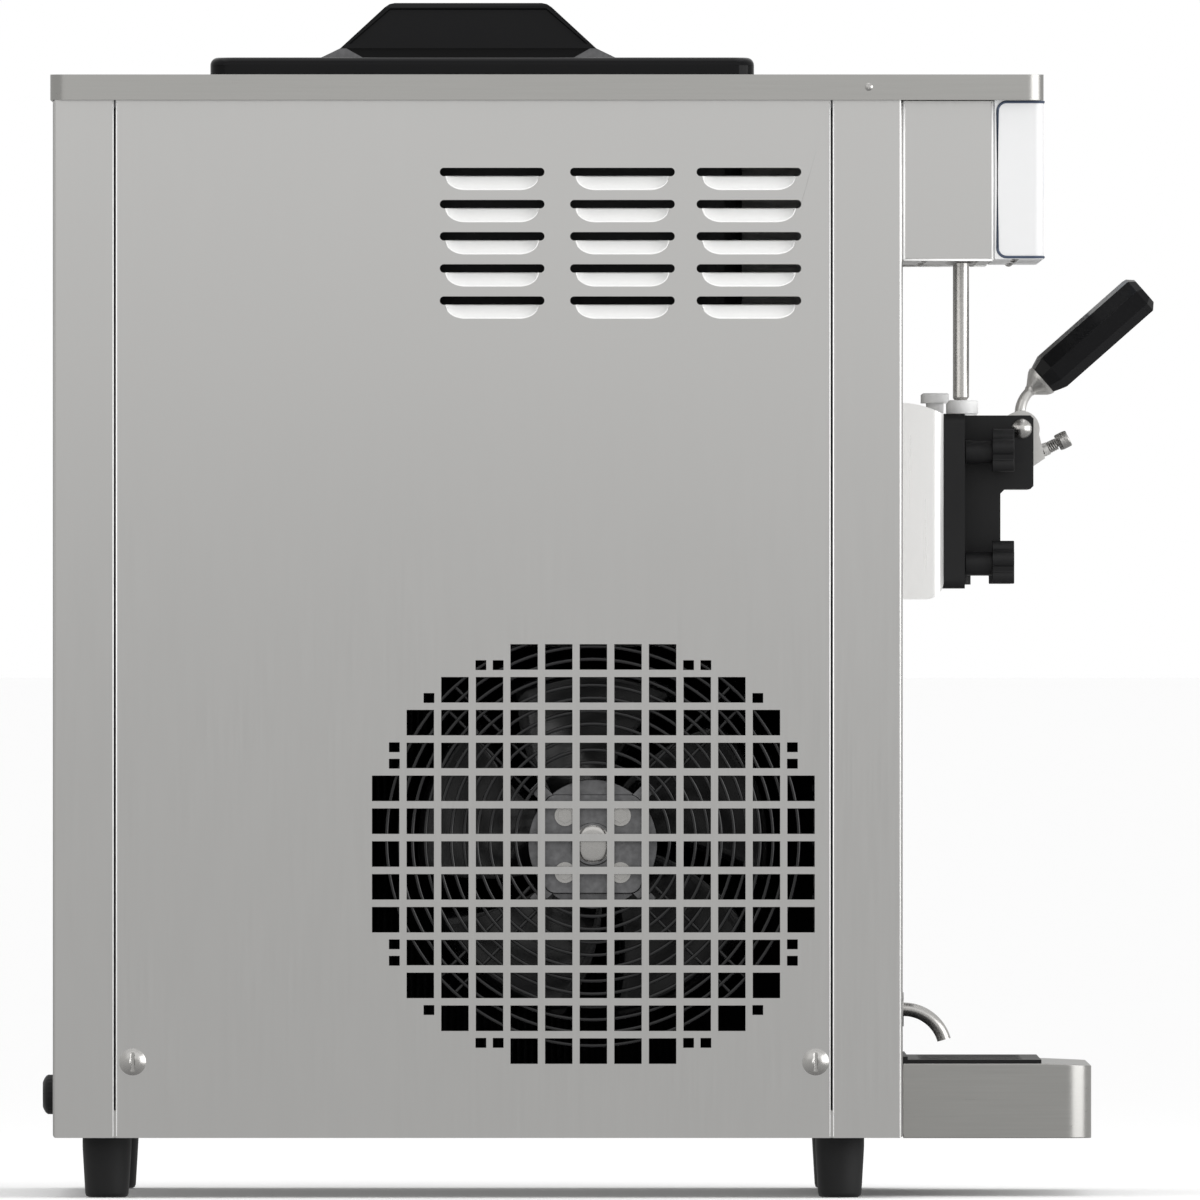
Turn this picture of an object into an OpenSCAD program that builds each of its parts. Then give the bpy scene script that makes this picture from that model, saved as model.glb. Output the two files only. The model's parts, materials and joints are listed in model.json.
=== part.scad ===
// Counter-top soft-serve ice cream maker: two hoppers, two freezing cylinders, three taps.
// Millimetres, +Z up, front of the machine towards -Y, origin at the bottom centre of the whole machine.

/* [Cabinet] */
// Width of the cabinet
cabinet_w = 534; // [500:1:560]
// Face of the front wrap panel, along Y
front_y = -197.3; // [-200:0.1:-190]
// Face of the rear wrap panel, along Y
rear_y = 355.2; // [350:0.1:357]
// Height of the cabinet floor above the counter
floor_z = 39; // [36:0.5:44]
// Height of the seam under the top cover
seam_z = 713.7; // [705:0.1:720]
// Height of the top face of the cover
cover_z = 730.3; // [726:0.1:734]
// Sheet thickness of the panels
sheet = 1.2; // [1:0.1:1.6]
// Gap between neighbouring panels
seam_gap = 1.3; // [0.6:0.1:2]

/* [Side grille] */
// Pitch of the grille holes along the panel
grille_pitch_y = 22.5; // [21:0.1:24]
// Pitch of the grille holes up the panel
grille_pitch_z = 21.35; // [20:0.05:23]
// Size of a full grille hole, along and up
grille_hole = [17.8, 16.6];
// Size of a small grille hole, along and up
grille_small = [7, 6.4];

/* [Louvres] */
// Pitch of the louvre rows
louvre_pitch = 20.9; // [19:0.1:24]
// Length of a louvre slot
louvre_len = 68; // [50:1:72]
// Depth that a louvre is pressed inwards
louvre_depth = 7; // [4:0.5:9]

/* [Taps] */
// Distance between neighbouring taps
tap_pitch = 82; // [76:1:88]
// Radius of a tap piston
piston_r = 9; // [8:0.1:9.5]
// Play between a pin or piston and its bore, on the radius
play = 0.05; // [0.02:0.01:0.1]
// Full swing of a tap lever, degrees
lever_swing = 35; // [25:1:36]
// Length of a lever grip
grip_len = 88; // [70:1:95]
// Radius of a lever grip over its corners
grip_r = 13.8; // [11:0.1:15]

/* [Freezing cylinders] */
// Radius of the bore
barrel_r = 43; // [40:1:44]
// Radius over the insulation
jacket_r = 58; // [52:1:60]

/* [Hoppers] */
// Width of a hopper
hopper_w = 199; // [180:1:205]
// Depth of a hopper below the cover
hopper_h = 170; // [120:1:175]

/* [Drip tray] */
// Width of the tray
tray_w = 380; // [340:1:420]
// How far the tray stands out from the front panel
tray_d = 122.8; // [110:0.1:130]

/* [Hidden] */
$fn = 48;
eps = 0.01;
steel = [0.74, 0.74, 0.73];
black = [0.06, 0.06, 0.07];
white = [0.93, 0.94, 0.94];
copper = [0.72, 0.43, 0.26];

// cabinet
half_w = cabinet_w / 2;
in_w = half_w - sheet;
seam_front_y = -151.1;
seam_rear_y = 314.9;
foot_x = 232;
foot_front_y = -156.5;
foot_rear_y = 320.3;
cover_half_w = half_w + 3;
cover_front_y = -288.9;
cover_rear_y = 356.9;
cover_sheet = 1.5;
post = 20;
post_x = 263;

// side grille and louvres
grille_y = 3.8;
grille_z = 223.6;
grille_half = [6, 6, 6, 5, 5, 4, 2];
louvre_y = [69.6, -15.1, -97.3];
louvre_top_z = 666.9;
louvre_low_z = 340;
louvre_slot_h = 5.5;
louvre_hood = [61, 10.1];
screw_y = [303.3, -140.7];
screw_z = 88.4;

// control box under the front of the cover
box_half_w = 264;
box_z = 610.4;
box_seam_y = -256.4;
button_z = 662;
button_r = 12;
window = [120, 46];

// barrels, shroud and dispensing head
barrel_x = tap_pitch;
barrel_z = 449;
barrel_rear_y = 62;
shroud_y = -224.8;
shroud_z = [389.1, 517.4];
shroud_half_w = 158;
shroud_r = 7.5;
shroud_fall_r = 61;
shroud_nose_r = 12;
plate_y = -238.6;
plate_z = [396.2, 510.3];
plate_half_w = 152;
body_half_w = 115;
body_y = -262.1;
body_z = [405, 509.3];
block_y = -283.7;
block_z = 461.2;
lever_slot_half = 5;
lever_slot_z = 472;
knob_x = 134;
knob_z = [412.4, 485.4];
knob_y = [-270.9, -256.6];
seal_r = [43, 46];
seal_depth = 3;
port_z = 430;

// tap linkage
pivot_y = -276;
pivot_z = 500.5;
pivot_r = 4;
valve_y = -237.9;
tail = valve_y - pivot_y;
tail_angle = lever_swing / 2;
knuckle_r = 4.4;
knuckle_y = pivot_y + tail * cos(tail_angle);
knuckle_z = pivot_z - tail * sin(tail_angle);
hub_r = 12;
hub_half = 4.5;
arm_r = 2.9;
arm_bend_r = 20;
grip_angle = 41.4;
arm_sweep = 90 - grip_angle;
arm_base_z = 511;
arm_end_y = pivot_y - arm_bend_r * (1 - cos(arm_sweep));
arm_end_z = arm_base_z + arm_bend_r * sin(arm_sweep);
ferrule_len = 10;
grip_turn = 33.5;
screw_root = [-290.5, 486.5];
screw_tilt = 26.6;
rod_y = -237.2;
rod_r = 4.65;
rod_z = [519.4, 650];
cap_z = [510.6, 519.4];
cap_h = cap_z[1] - cap_z[0];
plug_x = 56;
plug_y = -220;

// fan and cold side
fan_y = 4.2;
fan_z = 233;
motor_z = 230;

// hoppers
hopper_x = 118;
hopper_y = [-88, 240];
hopper_wall = 1.5;
feed_y = -60;
lid_y = [-100.8, 253.2];
lid_z = 741.9;
lid_w = 215;
handle_z = 778.5;

// tray
tray_z = [38, 86.5];
tray_front_y = front_y - 0.7 - tray_d;

// ---------- helpers ----------
// rounded rectangle, centred
module round_rect(w, h, r) {
    square([w - 2 * r, h], center = true);
    square([w, h - 2 * r], center = true);
    for (sx = [-1, 1], sy = [-1, 1]) translate([sx * (w / 2 - r), sy * (h / 2 - r)]) circle(r);
}

// a (y, z) outline extruded along X
module slab_x(x0, x1) {
    translate([x0, 0, 0]) rotate([90, 0, 90]) linear_extrude(x1 - x0) children();
}

// an (x, z) outline extruded along Y
module slab_y(y0, y1) {
    translate([0, y1, 0]) rotate([90, 0, 0]) linear_extrude(y1 - y0) children();
}

// an (x, y) outline extruded along Z
module slab_z(z0, z1) {
    translate([0, 0, z0]) linear_extrude(z1 - z0) children();
}

// a box between two corners
module span(a, b) {
    translate(a) cube(b - a);
}

module rod_along_x(r, x0, x1) {
    translate([x0, 0, 0]) rotate([0, 90, 0]) cylinder(r = r, h = x1 - x0);
}

module rod_along_y(r, y0, y1) {
    translate([0, y1, 0]) rotate([90, 0, 0]) cylinder(r = r, h = y1 - y0);
}

// domed head on the z = 0 plane
module dome(r, h) {
    ball = (r * r + h * h) / (2 * h);
    intersection() {
        translate([0, 0, h - ball]) sphere(ball);
        cylinder(r = r, h = h);
    }
}

// the same shape on the left and the right
module both_sides() {
    for (s = [0, 1]) mirror([s, 0, 0]) children();
}

// ---------- cabinet ----------
module base_pan() {
    color(steel) difference() {
        span([-in_w, front_y + sheet, floor_z], [in_w, rear_y - sheet, floor_z + 18]);
        span([1.5 - in_w, front_y + sheet + 1.5, floor_z + 2], [in_w - 1.5, rear_y - sheet - 1.5, floor_z + 21]);
    }
}

module frame() {
    y0 = front_y + 3.5;
    y1 = rear_y - 3.5;
    top = cover_z - cover_sheet;
    color([0.55, 0.56, 0.57]) {
        for (x = [-post_x, post_x - post], y = [y0, y1 - post])
            span([x, y, floor_z + 2], [x + post, y + post, top]);
        for (x = [-post_x, post_x - post])
            span([x, y0 + post - eps, top - post], [x + post, y1 - post + eps, top]);
        for (y = [y0, y1 - post])
            span([-post_x + post - eps, y, top - post], [post_x - post + eps, y + post, top]);
    }
}

// holes of the round grille, in the plane of the panel
module grille_holes() {
    for (row = [-6:6], col = [-6:6])
        if (abs(col) <= grille_half[abs(row)])
            translate([grille_y + col * grille_pitch_y, grille_z + row * grille_pitch_z])
                square(grille_hole, center = true);
    for (sy = [-1, 1], sz = [-1, 1], at = [[2.75, 5.75], [3.25, 5.75], [4.75, 4.75], [5.75, 3.25], [5.75, 2.75]])
        translate([grille_y + sy * at[0] * grille_pitch_y, grille_z + sz * at[1] * grille_pitch_z])
            square(grille_small, center = true);
}

// slot of one louvre with the window that its hood is pressed out of
module louvre_hole() {
    round_rect(louvre_len, louvre_slot_h, louvre_slot_h / 2 - 0.1);
    translate([0, -(louvre_slot_h + louvre_hood[1]) / 2 + 1]) {
        round_rect(louvre_hood[0], louvre_hood[1], 4.5);
        translate([0, 3]) square([louvre_hood[0], louvre_hood[1] - 5], center = true);
    }
}

// the pressed-in hood: a sloping sheet that starts inside the panel's thickness and runs inwards along +X
module louvre_scoop() {
    low = -louvre_slot_h / 2 - louvre_hood[1];
    high = -louvre_slot_h / 2;
    root = 0.3;
    rotate([90, 0, 0]) linear_extrude(louvre_hood[0] + 2, center = true)
        polygon([[root, low - 0.4], [root, low - 1.6], [louvre_depth, high - sheet], [louvre_depth, high]]);
}

// a side panel on the left; a vented one has the louvres high up and the grille in front of the fan
module side_panel(top_z, with_grille) {
    y0 = seam_front_y + seam_gap / 2;
    y1 = seam_rear_y - seam_gap / 2;
    color(steel) {
        slab_x(-half_w, -in_w) difference() {
            translate([y0, floor_z]) square([y1 - y0, seam_z - floor_z]);
            if (with_grille) grille_holes();
            for (y = louvre_y, row = [0:4])
                translate([y, top_z - row * louvre_pitch]) louvre_hole();
            for (y = screw_y) translate([y, screw_z]) circle(3.1);
        }
        for (y = louvre_y, row = [0:4])
            translate([-half_w, y, top_z - row * louvre_pitch]) louvre_scoop();
    }
}

module side_panel_left() {
    side_panel(louvre_top_z, true);
}

module side_panel_right() {
    mirror([1, 0, 0]) side_panel(louvre_low_z, false);
}

module rear_panel() {
    vent_rows = 9;
    gland_x = -170;
    color(steel) difference() {
        span([-half_w, seam_rear_y + seam_gap / 2, floor_z], [half_w, rear_y, seam_z]);
        span([-in_w, seam_rear_y - 1, floor_z - 1], [in_w, rear_y - sheet, seam_z + 1]);
        slab_y(rear_y - 5, rear_y + 1) {
            for (row = [0:vent_rows - 1], x = [-120, 0, 120])
                translate([x, 560 - row * 16]) round_rect(90, 6, 2.9);
            translate([gland_x, 66.3]) circle(8);
        }
    }
}

module front_panel() {
    color(steel) difference() {
        span([-half_w, front_y, floor_z], [half_w, seam_front_y - seam_gap / 2, seam_z]);
        span([-in_w, front_y + sheet, floor_z - 1], [in_w, seam_front_y + 1, seam_z + 1]);
        slab_y(front_y - 1, front_y + 5) {
            translate([0, barrel_z]) round_rect(270, 110, 12);
            translate([0, 120.3]) circle(5);
        }
    }
}

module top_cover() {
    corner = 11;
    long = cover_rear_y - cover_front_y;
    mid = (cover_rear_y + cover_front_y) / 2;
    color(steel) difference() {
        translate([0, mid]) slab_z(seam_z, cover_z) round_rect(2 * cover_half_w, long, corner);
        translate([0, mid]) slab_z(seam_z - 1, cover_z - cover_sheet)
            round_rect(2 * (cover_half_w - cover_sheet), long - 2 * cover_sheet, corner - cover_sheet);
        for (s = [-1, 1])
            translate([s * hopper_x, (hopper_y[0] + hopper_y[1]) / 2]) slab_z(seam_z, cover_z + 1)
                round_rect(hopper_w + 1, hopper_y[1] - hopper_y[0] + 1, 18);
        for (s = [-1, 1]) translate([s * cover_half_w, -175.2, 722.2]) rotate([0, 90, 0])
            cylinder(r = 1.6, h = 8, center = true);
    }
}

module feet() {
    color(black) for (x = [-foot_x, foot_x], y = [foot_front_y, foot_rear_y]) translate([x, y, 0])
        rotate_extrude() polygon([[0, 0], [11.5, 0], [13.6, 1], [14.2, 3], [15.95, 33], [15.95, floor_z], [0, floor_z]]);
}

// slotted screw heads that hold the side panels, axis along -X
module slotted_screw() {
    rotate([0, -90, 0]) difference() {
        union() {
            dome(8.75, 3);
            translate([0, 0, -8]) cylinder(r = 3, h = 8 + eps);
        }
        translate([0, 0, 3]) cube([20, 1.8, 2.6], center = true);
    }
}

module panel_screws() {
    color(steel) both_sides() for (y = screw_y) translate([-half_w, y, screw_z]) slotted_screw();
}

module cover_screws() {
    color(steel) {
        both_sides() translate([-cover_half_w, -175.2, 722.2]) rotate([0, -90, 0]) difference() {
            union() {
                dome(2.6, 1);
                translate([0, 0, -6]) cylinder(r = 1.5, h = 6 + eps);
            }
            for (a = [0, 90]) rotate(a) translate([0, 0, 1]) cube([2.8, 0.6, 1], center = true);
        }
        for (x = [-246, -120, 120, 246], y = [-212, -246, -270.6])
            translate([x, y, box_z]) mirror([0, 0, 1]) dome(2.6, 1.4);
    }
}

// ---------- control box ----------
module control_box() {
    collar = 1.4;
    color(steel) difference() {
        union() {
            span([-box_half_w, box_seam_y, box_z], [box_half_w, front_y, seam_z]);
            for (i = [-1:1]) translate([i * tap_pitch, rod_y, box_z - collar])
                cylinder(r1 = 8, r2 = 10.5, h = collar + eps);
        }
        span([1.5 - box_half_w, box_seam_y - 1, box_z + 1.5], [box_half_w - 1.5, front_y - 1.5, seam_z + 1]);
        for (i = [-1:1]) translate([i * tap_pitch, rod_y, box_z - 2]) cylinder(r = rod_r + 0.6, h = 5);
    }
}

module control_bezel() {
    r = 6;
    wall = 2.5;
    front = cover_front_y;
    back = box_seam_y - 0.5;
    color(white) difference() {
        slab_z(box_z, seam_z) difference() {
            union() {
                translate([0, (front + back) / 2]) round_rect(2 * box_half_w, back - front, r);
                translate([-box_half_w, front + r]) square([2 * box_half_w, back - front - r]);
            }
            translate([wall - box_half_w, front + wall]) square([2 * (box_half_w - wall), back - front]);
        }
        slab_y(front - 1, front + 5) {
            translate([0, button_z]) round_rect(window[0], window[1], 3);
            for (x = [-140, 110, 160]) translate([x, button_z]) circle(button_r + 0.4);
        }
    }
    color(white) {
        span([wall - box_half_w - eps, front + wall - eps, box_z], [box_half_w - wall + eps, back, box_z + wall]);
        span([wall - box_half_w - eps, front + wall - eps, seam_z - wall], [box_half_w - wall + eps, back, seam_z]);
    }
}

// circuit board with its display, behind the bezel
module display_board() {
    y = cover_front_y;
    color([0.05, 0.25, 0.15]) span([-200, y + 15, 622], [200, y + 16.6, 702]);
    color([0.04, 0.05, 0.06]) {
        slab_y(y + 1, y + 15 + eps) translate([0, button_z]) round_rect(window[0] - 0.6, window[1] - 0.6, 2.7);
        for (x = [-140, 110, 160]) span([x - 5, y + 10.5, button_z - 5], [x + 5, y + 15 + eps, button_z + 5]);
    }
}

// small switches that the push rods trip
module lift_switches() {
    color(black) for (i = [-1:1]) translate([i * tap_pitch, 0, 0])
        span([-10, rod_y + rod_r + 1, 655], [10, front_y - 1.5, 683]);
}

module push_button(x) {
    y = cover_front_y;
    color([0.75, 0.78, 0.8]) translate([x, 0, button_z]) {
        rod_along_y(button_r, y - 1.2, y + 4);
        rod_along_y(3, y + 4 - eps, y + 8.6);
    }
}

module button_power() {
    push_button(-140);
}

module button_wash() {
    push_button(110);
}

module button_run() {
    push_button(160);
}

// ---------- hoppers ----------
module hoppers() {
    len = hopper_y[1] - hopper_y[0];
    mid = (hopper_y[0] + hopper_y[1]) / 2;
    bottom = cover_z - hopper_h;
    color(steel) for (s = [-1, 1]) difference() {
        union() {
            translate([s * hopper_x, mid]) slab_z(bottom, cover_z + 1.5) round_rect(hopper_w, len, 17.5);
            translate([s * hopper_x, mid]) slab_z(cover_z, cover_z + 1.5) round_rect(hopper_w + 8, len + 12, 20);
            translate([s * barrel_x, feed_y, barrel_z + jacket_r + 5]) cylinder(r = 13, h = 60);
        }
        translate([s * hopper_x, mid]) slab_z(bottom + hopper_wall, cover_z + 3)
            round_rect(hopper_w - 2 * hopper_wall, len - 2 * hopper_wall, 16);
        translate([s * barrel_x, feed_y, barrel_z + jacket_r + 4]) cylinder(r = 10, h = 80);
    }
}

// ends of the grip on a lid: a flared foot, straight slopes and eased top corners
module lid_grip_profile() {
    h = handle_z - lid_z;
    polygon([[-98, -1], [-97.9, 0], [-83.6, 6.9], [-54.5, h - 2.8], [-51.4, h - 0.7], [-48, h],
        [48, h], [51.4, h - 0.7], [54.5, h - 2.8], [83.6, 6.9], [97.9, 0], [98, -1]]);
}

// the grip seen from the front, narrowing upwards
module lid_grip_section(inset) {
    h = handle_z - lid_z;
    polygon([[inset - 23, -2], [inset - 23, 6.9], [inset - 16, h - 3], [inset - 13, h + 1],
        [13 - inset, h + 1], [16 - inset, h - 3], [23 - inset, 6.9], [23 - inset, -2]]);
}

// grip with a sunk panel and an undercut along each long side
module lid_grip() {
    h = handle_z - lid_z;
    difference() {
        intersection() {
            slab_x(-30, 30) lid_grip_profile();
            slab_y(-99, 99) lid_grip_section(0);
        }
        difference() {
            slab_x(-30, 30) polygon([[-78, 9.8], [-51, h - 3.5], [51, h - 3.5], [78, 9.8]]);
            slab_y(-99, 99) lid_grip_section(2);
        }
        for (x = [-31, 17]) slab_x(x, x + 14) polygon([[-79.5, 6.9], [-67.2, -0.5], [67.2, -0.5], [79.5, 6.9]]);
    }
}

// lid with its grip; hollow underneath
module hopper_lid(s) {
    mid = (lid_y[0] + lid_y[1]) / 2;
    len = lid_y[1] - lid_y[0];
    grip_y = 85.5;
    z0 = cover_z + 0.3;
    edge = 5;
    wall = 3;
    color(black) translate([s * hopper_x, 0, 0]) {
        difference() {
            union() {
                translate([0, mid]) slab_z(z0, lid_z - edge) round_rect(lid_w, len, 14);
                translate([0, mid, lid_z - edge - eps]) hull() {
                    linear_extrude(0.1) round_rect(lid_w, len, 14);
                    for (a = [0:5])
                        translate([0, 0, edge * sin(a * 18)]) linear_extrude(eps)
                            round_rect(lid_w - 2 * edge * (1 - cos(a * 18)), len - 2 * edge * (1 - cos(a * 18)), 12);
                }
            }
            translate([0, mid]) slab_z(z0 - 1, lid_z - wall) round_rect(lid_w - 2 * wall, len - 2 * wall, 12);
        }
        translate([0, grip_y, lid_z]) lid_grip();
    }
}

module hopper_lid_left() {
    hopper_lid(-1);
}

module hopper_lid_right() {
    hopper_lid(1);
}

module feed_tubes() {
    color(white) both_sides() translate([barrel_x, feed_y, 550]) {
        difference() {
            cylinder(r = 9.8, h = 150);
            translate([0, 0, -1]) cylinder(r = 7.5, h = 152);
            translate([0, 0, 18]) rotate([90, 0, 0]) cylinder(r = 3, h = 30, center = true);
        }
    }
}

// ---------- freezing cylinders ----------
module freezing_cylinders() {
    color(steel) both_sides() translate([barrel_x, 0, barrel_z]) difference() {
        union() {
            rod_along_y(barrel_r + 3, shroud_y, barrel_rear_y);
            rod_along_y(jacket_r, front_y + 8, barrel_rear_y - 10);
            translate([0, feed_y, jacket_r - 6]) cylinder(r = 15, h = 11);
        }
        rod_along_y(barrel_r, shroud_y - 1, barrel_rear_y - 6);
        rod_along_y(8 + play, barrel_rear_y - 7, barrel_rear_y + 1);
        translate([0, feed_y, 20]) cylinder(r = 10, h = 60);
    }
}

// scraper: a shaft with a screw of paddles and two blades
module beater() {
    reach = barrel_r - 0.8;
    paddles = 8;
    color(white) translate([0, 0, barrel_z]) {
        rod_along_y(8, shroud_y + 8, 82);
        for (a = [0, 180]) rotate([0, a, 0]) span([-4, shroud_y + 8, reach - 9], [4, 46, reach - 0.6]);
        for (i = [0:paddles - 1]) translate([0, shroud_y + 14 + i * 33, 0]) rotate([0, i * 90, 0])
            span([-6, -3, -reach + 5], [6, 3, reach - 5]);
        for (i = [0, 1]) translate([0, shroud_y + 8 + i * 252, 0]) difference() {
            rod_along_y(reach - 1.5, 0, 6);
            rod_along_y(reach - 10, -1, 7);
        }
        for (i = [0, 1]) translate([0, shroud_y + 8 + i * 252, 0])
            span([-6, 0, -reach + 3], [6, 6, reach - 3]);
    }
}

module beater_left() {
    translate([-barrel_x, 0, 0]) beater();
}

module beater_right() {
    translate([barrel_x, 0, 0]) beater();
}

module gear_motors() {
    color([0.3, 0.32, 0.34]) both_sides() translate([barrel_x, 0, barrel_z]) difference() {
        union() {
            slab_y(70, 130) round_rect(100, 110, 12);
            rod_along_y(46, 130 - eps, 250);
            rod_along_y(40, 250 - eps, 262);
        }
        rod_along_y(8 + play, 69, 84);
    }
}

// side view of the shroud: the top falls away in a long curve, the bottom turns up in a short one
module shroud_profile(inset) {
    low = shroud_z[0] + inset;
    high = shroud_z[1] - inset;
    front = shroud_y + inset;
    difference() {
        translate([front, low]) square([front_y + 15 - front, high - low]);
        translate([front_y + 2, shroud_z[1] - shroud_fall_r]) difference() {
            translate([-40, 0]) square([40, shroud_fall_r + 1]);
            circle(shroud_fall_r - inset);
        }
        translate([shroud_y + shroud_nose_r, shroud_z[0] + shroud_nose_r]) difference() {
            translate([-shroud_nose_r - 1, -shroud_nose_r - 1]) square(shroud_nose_r + 1);
            circle(shroud_nose_r - inset);
        }
    }
}

// the shroud as a block, inset all round and open-ended towards the cabinet
module shroud_form(inset) {
    depth = 2 * shroud_r + front_y - shroud_y - inset;
    mid_y = shroud_y + inset + depth / 2;
    w = shroud_half_w - inset;
    intersection() {
        slab_x(-w, w) shroud_profile(inset);
        slab_z(shroud_z[0], shroud_z[1]) translate([0, mid_y]) round_rect(2 * w, depth, shroud_r - inset);
    }
}

module barrel_shroud() {
    color(steel) difference() {
        union() {
            difference() {
                shroud_form(0);
                shroud_form(sheet);
            }
            for (x = [-knob_x, knob_x], z = knob_z) translate([x, 0, z])
                rod_along_y(8, shroud_y + sheet - 0.1, shroud_y + 18);
        }
        span([-shroud_half_w - 1, front_y, shroud_z[0] - 1], [shroud_half_w + 1, front_y + 30, shroud_z[1] + 1]);
        for (x = [-knob_x, knob_x], z = knob_z) translate([x, 0, z])
            rod_along_y(pivot_r + play, shroud_y - 1, shroud_y + 20);
        for (s = [-1, 1]) translate([s * barrel_x, 0, barrel_z])
            rod_along_y(barrel_r + 3 + play, shroud_y - 1, shroud_y + 5);
        for (s = [-1, 1]) translate([s * plug_x, plug_y, shroud_z[1] - 10])
            cylinder(r = 5.35 + play, h = 14);
    }
}

// ---------- dispensing head ----------
module dispensing_head() {
    color(black) difference() {
        union() {
            slab_y(plate_y, shroud_y) translate([0, (plate_z[0] + plate_z[1]) / 2])
                round_rect(2 * plate_half_w, plate_z[1] - plate_z[0], 6);
            span([-body_half_w, body_y, body_z[0]], [body_half_w, plate_y + 1, body_z[1]]);
            slab_x(-body_half_w, body_half_w) polygon([[body_y + 1, body_z[1]], [block_y + 2, body_z[1]],
                [block_y, body_z[1] - 2], [block_y, block_z + 2], [block_y + 2, block_z], [body_y - 3, block_z],
                [body_y, block_z - 3], [body_y + 1, block_z - 3]]);
            for (i = [-1:1]) translate([i * tap_pitch, valve_y, 398.8]) cylinder(r = 5, h = 10);
        }
        for (i = [-1:1]) translate([i * tap_pitch, 0, 0]) {
            translate([0, valve_y, 415]) cylinder(r = piston_r + play, h = 100);
            translate([0, valve_y, 390]) cylinder(r = 3.5, h = 30);
            span([-lever_slot_half, block_y - 1, lever_slot_z], [lever_slot_half, valve_y, body_z[1] + 3]);
        }
        // ports from the two barrels, and the cross bore that feeds the centre tap
        for (s = [-1, 1]) translate([s * barrel_x, 0, 0]) {
            translate([0, 0, port_z]) rod_along_y(6, valve_y, shroud_y + 1);
            translate([0, 0, barrel_z]) rod_along_y(30, shroud_y - 3.2, shroud_y + 1);
            translate([0, 0, barrel_z]) difference() {
                rod_along_y(seal_r[1], shroud_y - seal_depth, shroud_y + 1);
                rod_along_y(seal_r[0], shroud_y - seal_depth - 1, shroud_y + 2);
            }
        }
        translate([0, -230, port_z]) rod_along_x(4, -62, 62);
        translate([0, pivot_y, pivot_z]) rod_along_x(pivot_r + play, -body_half_w - 1, body_half_w + 1);
        for (x = [-knob_x, knob_x], z = knob_z) translate([x, 0, z])
            rod_along_y(pivot_r + play, plate_y - 1, shroud_y + 1);
    }
}

module head_seals() {
    color([0.75, 0.2, 0.15]) both_sides() translate([barrel_x, 0, barrel_z]) difference() {
        rod_along_y(seal_r[1] - 0.1, shroud_y - seal_depth, shroud_y);
        rod_along_y(seal_r[0] + 0.1, shroud_y - seal_depth - 1, shroud_y + 1);
    }
}

module pivot_pin() {
    color(steel) translate([0, pivot_y, pivot_z]) {
        rod_along_x(pivot_r, -body_half_w - 0.4, body_half_w + 0.4);
        both_sides() translate([body_half_w + 0.3, 0, 0]) rotate([0, 90, 0]) dome(6.65, 3.6);
    }
}

// piston with its cap and the notch that the lever's tail lifts
module valve(i) {
    color(white) translate([i * tap_pitch, 0, 0]) difference() {
        union() {
            translate([0, valve_y, 416]) cylinder(r = piston_r, h = cap_z[0] - 416 + eps);
            translate([0, valve_y, cap_z[0]]) rotate_extrude()
                polygon([[0, 0], [9.9, 0], [9.9, cap_h - 1], [8.9, cap_h], [0, cap_h]]);
        }
        span([-3.7, valve_y - 12, knuckle_z - 5], [3.7, valve_y + knuckle_r + 0.6, knuckle_z + 5]);
    }
}

module valve_left() {
    valve(-1);
}

module valve_centre() {
    valve(0);
}

module valve_right() {
    valve(1);
}

// places a child at the root of the flow screw, with its axis along +Z
module at_flow_screw(i) {
    translate([i * tap_pitch, screw_root[0], screw_root[1]]) rotate([90 - screw_tilt, 0, 0]) children();
}

module lever(i) {
    color(steel) difference() {
        union() {
            translate([i * tap_pitch, pivot_y, pivot_z]) rod_along_x(hub_r, -hub_half, hub_half);
            translate([i * tap_pitch, 0, 0]) {
                // tail with its knuckle
                translate([0, pivot_y, pivot_z]) rotate([-tail_angle, 0, 0])
                    slab_x(-3, 3) polygon([[6, -5], [24, -1.7], [tail, -1.6], [tail, 1.6], [24, 1.7], [6, 5]]);
                translate([0, knuckle_y, knuckle_z]) rod_along_x(knuckle_r, -3, 3);
                // lug for the flow screw
                slab_x(-4, 4) polygon([[-287.4, 498], [-291.5, 481.3], [-284.3, 476.5], [-270, 491]]);
                // bent arm
                translate([0, pivot_y - arm_bend_r, arm_base_z]) rotate([90, 0, 90])
                    rotate_extrude(angle = arm_sweep) translate([arm_bend_r, 0]) circle(arm_r);
                translate([0, pivot_y, pivot_z]) cylinder(r = arm_r, h = arm_base_z - pivot_z + eps);
                translate([0, arm_end_y, arm_end_z]) rotate([90 - grip_angle, 0, 0]) rotate_extrude()
                    polygon([[0, -1], [3.4, -1], [4, 1], [9.8, ferrule_len - 2.5], [11, ferrule_len], [0, ferrule_len]]);
            }
            at_flow_screw(i) cylinder(r = 4.2, h = 3.5);
        }
        translate([i * tap_pitch, pivot_y, pivot_z]) rod_along_x(pivot_r + play, -9, 9);
        at_flow_screw(i) translate([0, 0, -12]) cylinder(r = 2.5 + play, h = 20);
    }
}

module lever_left() {
    lever(-1);
}

module lever_centre() {
    lever(0);
}

module lever_right() {
    lever(1);
}

module grip(i) {
    color(black) translate([i * tap_pitch, arm_end_y, arm_end_z]) rotate([90 - grip_angle, 0, 0])
        translate([0, 0, ferrule_len]) rotate(grip_turn) {
            cylinder(r1 = 10.3, r2 = grip_r, h = 9, $fn = 8);
            translate([0, 0, 9 - eps]) cylinder(r = grip_r, h = grip_len - 13, $fn = 8);
            translate([0, 0, grip_len - 4 - 2 * eps]) cylinder(r1 = grip_r, r2 = grip_r - 4, h = 4, $fn = 8);
        }
}

module grip_left() {
    grip(-1);
}

module grip_centre() {
    grip(0);
}

module grip_right() {
    grip(1);
}

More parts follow.
